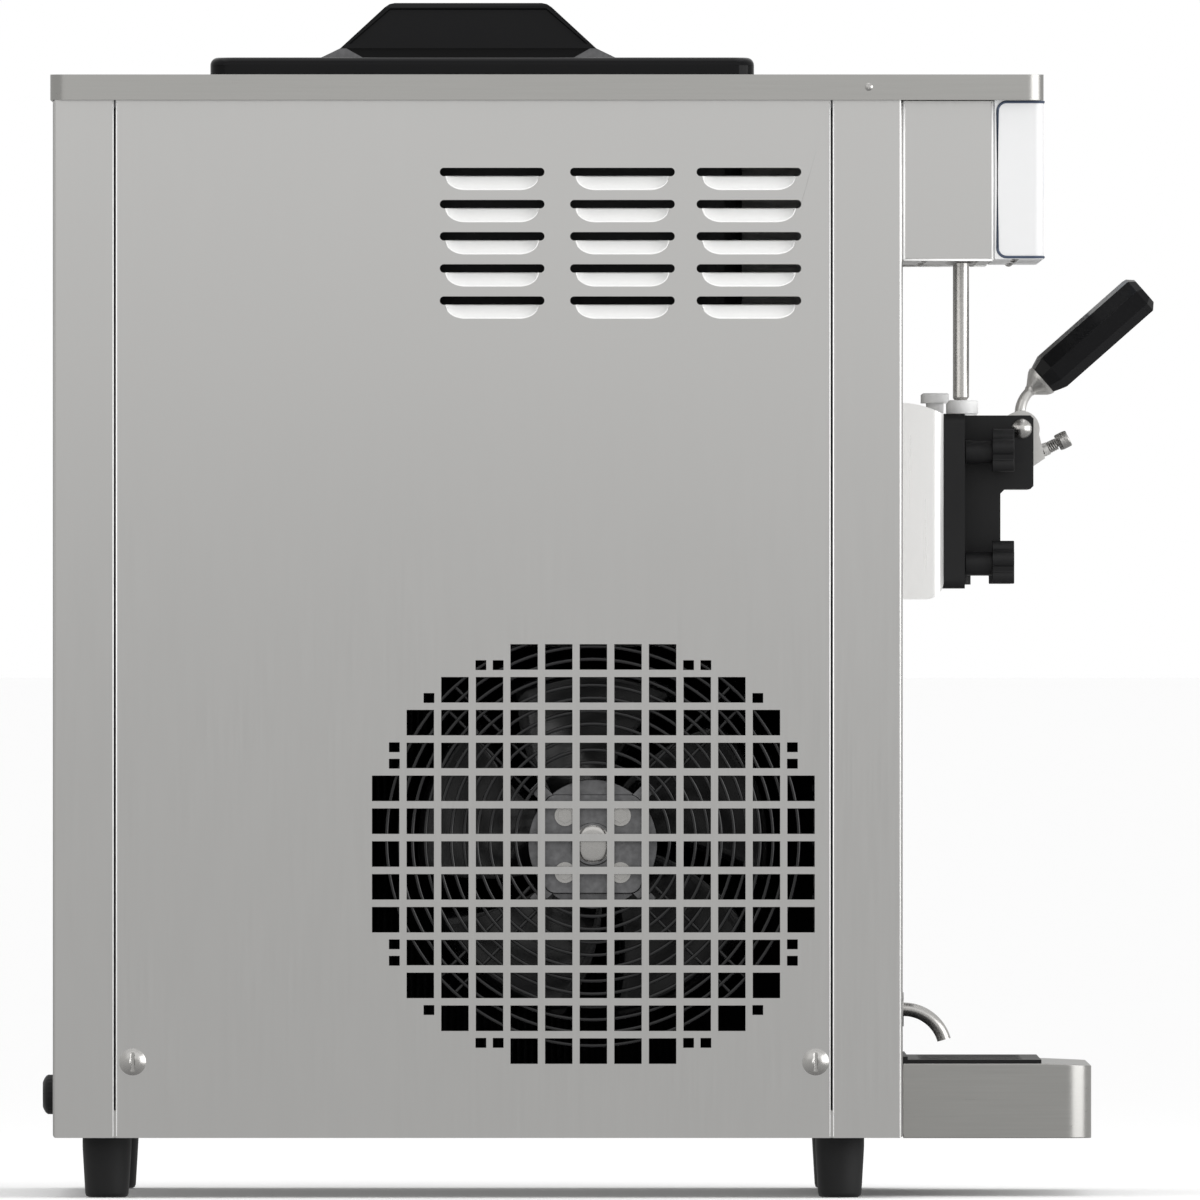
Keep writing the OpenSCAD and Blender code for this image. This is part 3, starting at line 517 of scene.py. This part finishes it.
def side_panels():
    """Side panels without their plain louvre backs, and the pressed hoods in their slots."""
    for side, sign in SIDES:
        node = "side_panel_" + side
        outer = sign * max(abs(corner.x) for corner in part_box(node))
        inner = outer - sign * PANEL_SHEET
        sheet = bmesh.new()
        sheet.from_mesh(nodes[node].data)
        bmesh.ops.remove_doubles(sheet, verts=sheet.verts, dist=WELD)
        beyond = [f for f in sheet.faces if any((inner - v.co.x) * sign > 3 * NEAR for v in f.verts)]
        bmesh.ops.delete(sheet, geom=beyond, context="FACES")
        panel = piece_from(sheet, node + "_sheet", "cabinet", "brushed_steel", smooth=False)
        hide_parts(node)
        hoods = bmesh.new()
        for y, z in louvre_places(side):
            add_hood(hoods, y, z, outer - sign * HOOD_SINK, -sign)
        outward(hoods)
        shoulders = bmesh.new()
        for y, z in louvre_places(side):
            add_hood_shoulders(shoulders, y, z, outer - sign * SHOULDER_SINK)
        flat = piece_from(shoulders, node + "_louvre_shoulders", "cabinet", "brushed_steel", smooth=False)
        thicken(flat, SHOULDER_SHEET)
        # the hoods are the panel's own steel; their pale material is painted light from above
        press = piece_from(hoods, node + "_louvre_hoods", "cabinet", "brushed_steel", look="painted_highlight_steel")
        thicken(press, HOOD_SHEET)


def seam_lips():
    """Rounded folded edges on both sides of the upright seams, in the pale steel: a painted highlight along
    the fold.
    """
    reach, bead, seam, margin = 0.5 * MM, 0.4 * MM, 1.3 * MM, 1 * MM
    low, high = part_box("side_panel_left")
    edges = (low.y + reach, high.y - reach, low.y - seam - reach, high.y + seam + reach)
    for side, sign in SIDES:
        face = sign * abs(low.x)
        bm = bmesh.new()
        for y in edges:
            sweep(bm, [Vector((face, y, low.z + margin)), Vector((face, y, high.z - margin))], bead)
        outward(bm)
        piece_from(bm, "seam_lips_" + side, "cabinet", "brushed_steel", look="painted_highlight_steel")


def box_lips():
    """Rounded folded edges round the sides of the control box, in the pale steel: a painted highlight along
    the fold.
    """
    bead = 0.8 * MM
    low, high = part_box("control_box")
    rear, front = high.y - bead, low.y + bead
    top, bottom = high.z - 1 * MM, low.z + bead
    corners = ((rear, top), (rear, bottom), (front, bottom), (front, top))
    for side, sign in SIDES:
        face = sign * abs(low.x)
        bm = bmesh.new()
        for start, end in zip(corners, corners[1:]):
            sweep(bm, [Vector((face, *start)), Vector((face, *end))], bead)
        outward(bm)
        piece_from(bm, "box_lips_" + side, "cabinet", "brushed_steel", look="painted_highlight_steel")


# ---------- fittings ----------
def bezel_outline():
    """Dark gasket line round the edge of the white front moulding."""
    low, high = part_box("control_bezel")
    inset, radius, corner = 1.2 * MM, 0.9 * MM, 6 * MM
    steps = 6
    back = high.y - 2 * MM
    left, right, front = low.x, high.x, low.y
    top, bottom = high.z - inset, low.z + inset
    path = []

    def arc(centre, start, turn, plane):
        for k in range(steps + 1):
            a = math.radians(start + turn * k / steps)
            c, s = corner * math.cos(a), corner * math.sin(a)
            path.append(centre + (Vector((0, c, s)) if plane == "side" else Vector((c, s, 0))))

    arc(Vector((left, back - corner, bottom + corner)), 270, 90, "side")
    arc(Vector((left, back - corner, top - corner)), 0, 90, "side")
    arc(Vector((left + corner, front + corner, top)), 180, 90, "flat")
    arc(Vector((right - corner, front + corner, top)), 270, 90, "flat")
    arc(Vector((right, back - corner, top - corner)), 90, -90, "side")
    arc(Vector((right, back - corner, bottom + corner)), 0, -90, "side")
    arc(Vector((right - corner, front + corner, bottom)), 0, -90, "flat")
    arc(Vector((left + corner, front + corner, bottom)), 270, -90, "flat")
    bm = bmesh.new()
    sweep(bm, path, radius, closed=True)
    outward(bm)
    piece_from(bm, "bezel_gasket_line", "cabinet", "white_bezel", look="gasket_blue")


SCREW_SHANK = 19.5 * MM
SCREW_ROOT = 7 * MM
SCREW_HEAD = 12 * MM
THREAD_PITCH = 0.9 * MM
THREAD_CORE = 2.05 * MM
THREAD_DEPTH = 0.45 * MM
HEAD_HEIGHT = 6.5 * MM
HEAD_RADIUS = 5.2 * MM
HEAD_CHAMFER = 0.6 * MM
KNURL_DEPTH = 0.3 * MM
KNURL_COUNT = 14
KNURL_TWIST = 900
SPRING_START = 3.6 * MM
SPRING_PITCH = 1.45 * MM
SPRING_RADIUS = 3.4 * MM
SPRING_WIRE = 0.45 * MM
SPRING_TURNS = 4.5
SPRING_STEPS = 70


def thread_radius(z, a):
    turn = (z / THREAD_PITCH - a / (2 * math.pi)) % 1.0
    return THREAD_CORE + THREAD_DEPTH * (1 - abs(2 * turn - 1))


def knurl_radius(z, a):
    edge = min(z, HEAD_HEIGHT - z)
    chamfer = max(0.0, HEAD_CHAMFER - edge)
    ribs = (KNURL_COUNT * a + KNURL_TWIST * z, KNURL_COUNT * a - KNURL_TWIST * z)
    return HEAD_RADIUS + KNURL_DEPTH * max(abs(math.sin(rib)) for rib in ribs) - chamfer


def spring_path(root):
    path = []
    for k in range(SPRING_STEPS + 1):
        t = 2 * math.pi * SPRING_TURNS * k / SPRING_STEPS
        rise = SPRING_START + SPRING_PITCH * t / (2 * math.pi)
        path.append(root @ Vector((SPRING_RADIUS * math.cos(t), SPRING_RADIUS * math.sin(t), rise)))
    return path


def flow_screws():
    """Adjusting screws with a helical thread, a knurled head and a spring on the lever's side."""
    for tap in TAPS:
        body = "flow_screw_" + tap
        joint = joints[body + "_turn"]
        axis_turn = Vector(joint["axis"]).to_track_quat("Z", "Y").to_matrix().to_4x4()
        root = Matrix.Translation(joint["pos_m"]) @ axis_turn
        shank_place = root @ Matrix.Translation((0, 0, -SCREW_ROOT))
        head_place = root @ Matrix.Translation((0, 0, SCREW_HEAD))
        shank = lathe("flow_screw_thread_" + tap, body, "polished_steel", shank_place,
                      SCREW_SHANK, 130, 20, thread_radius)
        lathe("flow_screw_head_" + tap, body, "polished_steel", head_place, HEAD_HEIGHT, 26, 84, knurl_radius)
        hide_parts(body)
        coil = bmesh.new()
        sweep(coil, spring_path(root), SPRING_WIRE)
        outward(coil)
        piece_from(coil, "flow_screw_spring_" + tap, "lever_" + tap, "polished_steel")


ALONG_X = Matrix.Rotation(math.radians(90), 4, "Y")
BLADES = 5
BLADE_SWEEP = 0.35
BLADE_CHORD = 62
BLADE_TAPER = 6
BLADE_PITCH = 24 * MM
BLADE_FLATTEN = 0.25
BLADE_CAMBER = 4 * MM
BLADE_ROOT = 24 * MM
BLADE_SHEET = 1.2 * MM
TIP_GAP = 4 * MM
HUB_RADIUS = 26 * MM
HUB_WIDTH = 26 * MM
HUB_EDGE = 4 * MM
HUB_DROP = 3 * MM
FAN_SHAFT_RADIUS = 5 * MM


def add_blade(bm, base, centre, reach, hub_middle):
    """One pressed blade: swept forwards, cambered, and flatter towards its tip."""
    steps = 12
    rows = []
    for i in range(steps + 1):
        t = i / steps
        r = BLADE_ROOT + (reach - BLADE_ROOT) * t
        chord = math.radians(BLADE_CHORD - BLADE_TAPER * t)
        pitch = BLADE_PITCH * (1 - BLADE_FLATTEN * t)
        row = []
        for j in range(steps + 1):
            u = j / steps - 0.5
            a = base + chord * u + BLADE_SWEEP * t
            x = hub_middle + pitch * u + BLADE_CAMBER * (1 - 4 * u * u)
            row.append(bm.verts.new((x, centre.y + r * math.cos(a), centre.z + r * math.sin(a))))
        rows.append(row)
    join_rows(bm, rows)


def hub_radius(z, a):
    edge = min(z, HUB_WIDTH - z)
    return HUB_RADIUS - HUB_DROP * max(0.0, 1 - edge / HUB_EDGE) ** 2


def fan_blades():
    """Swept, cambered blades on a pressed hub with its shaft."""
    low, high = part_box("fan_blade")
    centre = Vector(joints["fan_spin"]["pos_m"])
    hub_start = high.x - HUB_WIDTH
    bm = bmesh.new()
    for base in circle_angles(BLADES):
        add_blade(bm, base, centre, high.z - centre.z - TIP_GAP, (hub_start + high.x) / 2)
    thicken(piece_from(bm, "fan_blade_pressings", "fan_blade", "black_metal"), BLADE_SHEET)
    hub_place = Matrix.Translation((hub_start, centre.y, centre.z)) @ ALONG_X
    hub = lathe("fan_hub", "fan_blade", "black_metal", hub_place, HUB_WIDTH, 13, 48, hub_radius)
    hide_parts("fan_blade")
    shaft_place = Matrix.Translation((low.x, centre.y, centre.z)) @ ALONG_X
    lathe("fan_shaft", "fan_blade", "polished_steel", shaft_place, hub_start - low.x + 1 * MM, 4, 24,
          lambda z, a: FAN_SHAFT_RADIUS)


BOLT_Y = 18 * MM
BOLT_Z = 18.5 * MM
BOLT_HEAD = 3 * MM
BOLT_RADIUS = 4.8 * MM
BOLT_STAND = 1.2 * MM
WASHER_DROP = 2 * MM
WASHER_SHEET = 0.9 * MM
WASHER_RADIUS = 6.8 * MM
CAP_HEIGHT = 2 * MM
CAP_STAND = 0.8 * MM
CAP_TOP_RADIUS = 9 * MM
CAP_SPREAD = 4 * MM


def cap_radius(z, a):
    return CAP_TOP_RADIUS + CAP_SPREAD * math.sqrt(max(0.0, z / CAP_HEIGHT))


def motor_bolts():
    """Hex bolts with washers and the pressed bearing cap on the motor's end."""
    low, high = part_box("fan_motor")
    y, z = (low.y + high.y) / 2, (low.z + high.z) / 2
    corners = [(sy * BOLT_Y, sz * BOLT_Z) for sy in (-1, 1) for sz in (-1, 1)]
    for i, (dy, dz) in enumerate(corners):
        place = Matrix.Translation((low.x - BOLT_STAND, y + dy, z + dz)) @ ALONG_X
        washer_place = place @ Matrix.Translation((0, 0, WASHER_DROP))
        lathe("motor_bolt_%d" % i, "cabinet", "polished_steel", place, BOLT_HEAD, 2, 6,
              lambda z, a: BOLT_RADIUS)
        lathe("motor_washer_%d" % i, "cabinet", "polished_steel", washer_place, WASHER_SHEET, 1, 32,
              lambda z, a: WASHER_RADIUS)
    place = Matrix.Translation((low.x - CAP_STAND, y, z)) @ ALONG_X
    lathe("motor_bearing_cap", "cabinet", "polished_steel", place, CAP_HEIGHT, 8, 48, cap_radius)


FOAM = 5 * MM
FOAM_GAP = 0.2 * MM
FOAM_FOOT = 60 * MM
HOPPER_RIM = 6 * MM
HOPPER_HALF_X = 99.5 * MM
HOPPER_CORNER = 17.5 * MM
CORNER_STEPS = 6


def rounded_ring(bm, x, y, half_x, half_y, corner, out, z):
    """Level ring of points round a rectangle with rounded corners, moved outwards by out."""
    ring = []
    for cx, cy, start in ((1, 1, 0), (-1, 1, 90), (-1, -1, 180), (1, -1, 270)):
        for k in range(CORNER_STEPS + 1):
            a = math.radians(start + 90 / CORNER_STEPS * k)
            r = corner + out
            ring.append(bm.verts.new((x + cx * (half_x - corner) + r * math.cos(a),
                                      y + cy * (half_y - corner) + r * math.sin(a), z)))
    return ring


def hopper_insulation():
    """Black foam wrapped round the outside of each hopper."""
    low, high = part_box("hoppers")
    foot, top = low.z + FOAM_FOOT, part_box("top_cover")[0].z
    y, half_y = (low.y + high.y) / 2, (high.y - low.y) / 2 - HOPPER_RIM
    for side in ("left", "right"):
        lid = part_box("hopper_lid_" + side)
        x = (lid[0].x + lid[1].x) / 2
        bm = bmesh.new()
        rings = [rounded_ring(bm, x, y, HOPPER_HALF_X, half_y, HOPPER_CORNER, out, z)
                 for out, z in ((FOAM_GAP, foot), (FOAM, foot), (FOAM, top), (FOAM_GAP, top))]
        for one, two in zip(rings, rings[1:] + rings[:1]):
            join_rings(bm, one, two)
        outward(bm)
        piece_from(bm, "hopper_insulation_" + side, "cabinet", "black_matt", smooth=False)


FIN_COUNT = 66
FIN_FOLDS = 6
FIN_MARGIN = 2 * MM
FIN_FOLD_WIDTH = 9 * MM
FIN_WAVE = 2.6 * MM
FIN_END = 9 * MM
FIN_FOOT = 28 * MM
FIN_HEAD = 8 * MM
END_PLATE_INSET = 3 * MM
END_PLATE = 2 * MM
TUBE_ROWS = 8
TUBE_FIRST = 45 * MM
TUBE_PITCH = 36 * MM
TUBE_OFFSET = 9 * MM
TUBE_RADIUS = 4.5 * MM


def condenser_fins():
    """Thin folded fins on tubes between two end plates."""
    low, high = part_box("condenser")
    mid = (low + high) / 2
    bm = bmesh.new()
    z_low, z_high = low.z + FIN_FOOT, high.z - FIN_HEAD
    zigzag = [(low.x + FIN_MARGIN + FIN_FOLD_WIDTH * k, FIN_WAVE * (-1) ** k) for k in range(FIN_FOLDS)]
    for k in range(FIN_COUNT):
        y = low.y + FIN_END + (high.y - low.y - 2 * FIN_END) * k / (FIN_COUNT - 1)
        edges = [(bm.verts.new((x, y + off, z_low)), bm.verts.new((x, y + off, z_high))) for x, off in zigzag]
        for one, two in zip(edges, edges[1:]):
            bm.faces.new((one[0], two[0], two[1], one[1]))
    for y in (low.y + END_PLATE_INSET, high.y - END_PLATE_INSET):
        plate = bmesh.ops.create_cube(bm, size=1)["verts"]
        bmesh.ops.scale(bm, vec=(high.x - low.x, END_PLATE, high.z - low.z), verts=plate)
        bmesh.ops.translate(bm, vec=(mid.x, y, mid.z), verts=plate)
    for row in range(TUBE_ROWS):
        z = low.z + TUBE_FIRST + row * TUBE_PITCH
        for x in (mid.x - TUBE_OFFSET, mid.x + TUBE_OFFSET):
            sweep(bm, [Vector((x, low.y, z)), Vector((x, high.y, z))], TUBE_RADIUS, 12)
    fins = piece_from(bm, "condenser_fins", "cabinet", "fin_metal", smooth=False)
    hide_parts("condenser")


NUT_HEIGHT = 4.2 * MM
NUT_RADIUS = 12.65 * MM
NUT_RIB = 0.35 * MM
NUT_RIBS = 12
NOSE_HEIGHT = 3.4 * MM
NOSE_DROP = 4.6 * MM


def nut_radius(z, a):
    rib = NUT_RIB * abs(math.sin(NUT_RIBS * a)) if z < NUT_HEIGHT else 0.0
    nose = max(0.0, (z - NUT_HEIGHT) / NOSE_HEIGHT)
    return NUT_RADIUS + rib - NOSE_DROP * nose ** 2


def gland():
    """Ribbed nut and rounded nose of the cable gland."""
    low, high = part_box("cable_gland")
    x, z = (low.x + high.x) / 2, (low.z + high.z) / 2
    rearwards = Matrix.Rotation(math.radians(-90), 4, "X")
    place = Matrix.Translation((x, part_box("rear_panel")[1].y, z)) @ rearwards
    height = NUT_HEIGHT + NOSE_HEIGHT
    nut = lathe("cable_gland_nut", "cabinet", "black_matt", place, height, 20, 96, nut_radius)
    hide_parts("cable_gland")


GRIP_MIDDLE_Y = 85.5 * MM
GRIP_FOOT_DROP = 36.6 * MM
FACET_INNER = 22.8 * MM
FACET_OUTER = 23.3 * MM
FACET_OUTLINE = [(67.5, 0.1), (79.5, 6.8), (83.6, 6.8), (97.6, 0.1)]


def lid_foot_facets():
    """Pale end plates on the flared feet of the lid grips."""
    for side in ("left", "right"):
        node = "hopper_lid_" + side
        low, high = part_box(node)
        x, z = (low.x + high.x) / 2, high.z - GRIP_FOOT_DROP
        bm = bmesh.new()
        for sx in (-1, 1):
            for sy in (-1, 1):
                near, far = ([bm.verts.new((x + sx * out, GRIP_MIDDLE_Y + sy * u * MM, z + h * MM))
                              for u, h in FACET_OUTLINE] for out in (FACET_INNER, FACET_OUTER))
                bm.faces.new(near)
                bm.faces.new(far)
                join_rings(bm, near, far)
        outward(bm)
        piece_from(bm, node + "_foot_facets", node, "frame_metal", smooth=False)


# ---------- rounded edges ----------
PANEL_BEND = 2.2 * MM
# in millimetres
EDGE_RADII = {
    "top_cover": 1.0, "control_box": 0.6, "control_bezel": 1.0, "dispensing_head": 1.6, "drip_tray": 0.6,
    "drip_grate": 0.5, "hopper_lid_left": 0.9, "hopper_lid_right": 0.9, "base_pan": 0.4, "fan_motor": 0.8,
    "compressor": 1.5, "gear_motors": 1.5, "display_board": 0.4, "button_power": 0.7, "button_wash": 0.7,
    "button_run": 0.7, "star_knob_upper_left": 1.2, "star_knob_upper_right": 1.2, "star_knob_lower_left": 1.2,
    "star_knob_lower_right": 1.2,
}
TAP_EDGE_RADII = {"grip": 0.9, "valve": 0.5}
TURNED = ["feet", "panel_screws", "pivot_pin", "barrel_shroud", "vent_plug_left", "vent_plug_right",
          "drip_spout", "refrigerant_pipes", "fan_guard", "freezing_cylinders", "beater_left", "beater_right",
          "hoppers"]


def rounded_nodes():
    """Small radii on moulded and folded edges, even shading on turned parts, bends on the wrap panels."""
    for node, width in EDGE_RADII.items():
        soften(node, width * MM)
    for node in TURNED:
        smooth_copy(node)
    for tap in TAPS:
        smooth_copy("lever_" + tap, look="lever_steel")
        smooth_copy("push_rod_" + tap)
        for kind, width in TAP_EDGE_RADII.items():
            soften(kind + "_" + tap, width * MM)
    for node in ("front_panel", "rear_panel"):
        bend_corners(node, PANEL_BEND)


# ---------- run ----------
make_steels()
make_plastics()
add_camera()
add_studio()
paint_frame()
rounded_nodes()
side_panels()
seam_lips()
box_lips()
bezel_outline()
flow_screws()
fan_blades()
condenser_fins()
gland()
lid_foot_facets()
motor_bolts()
hopper_insulation()
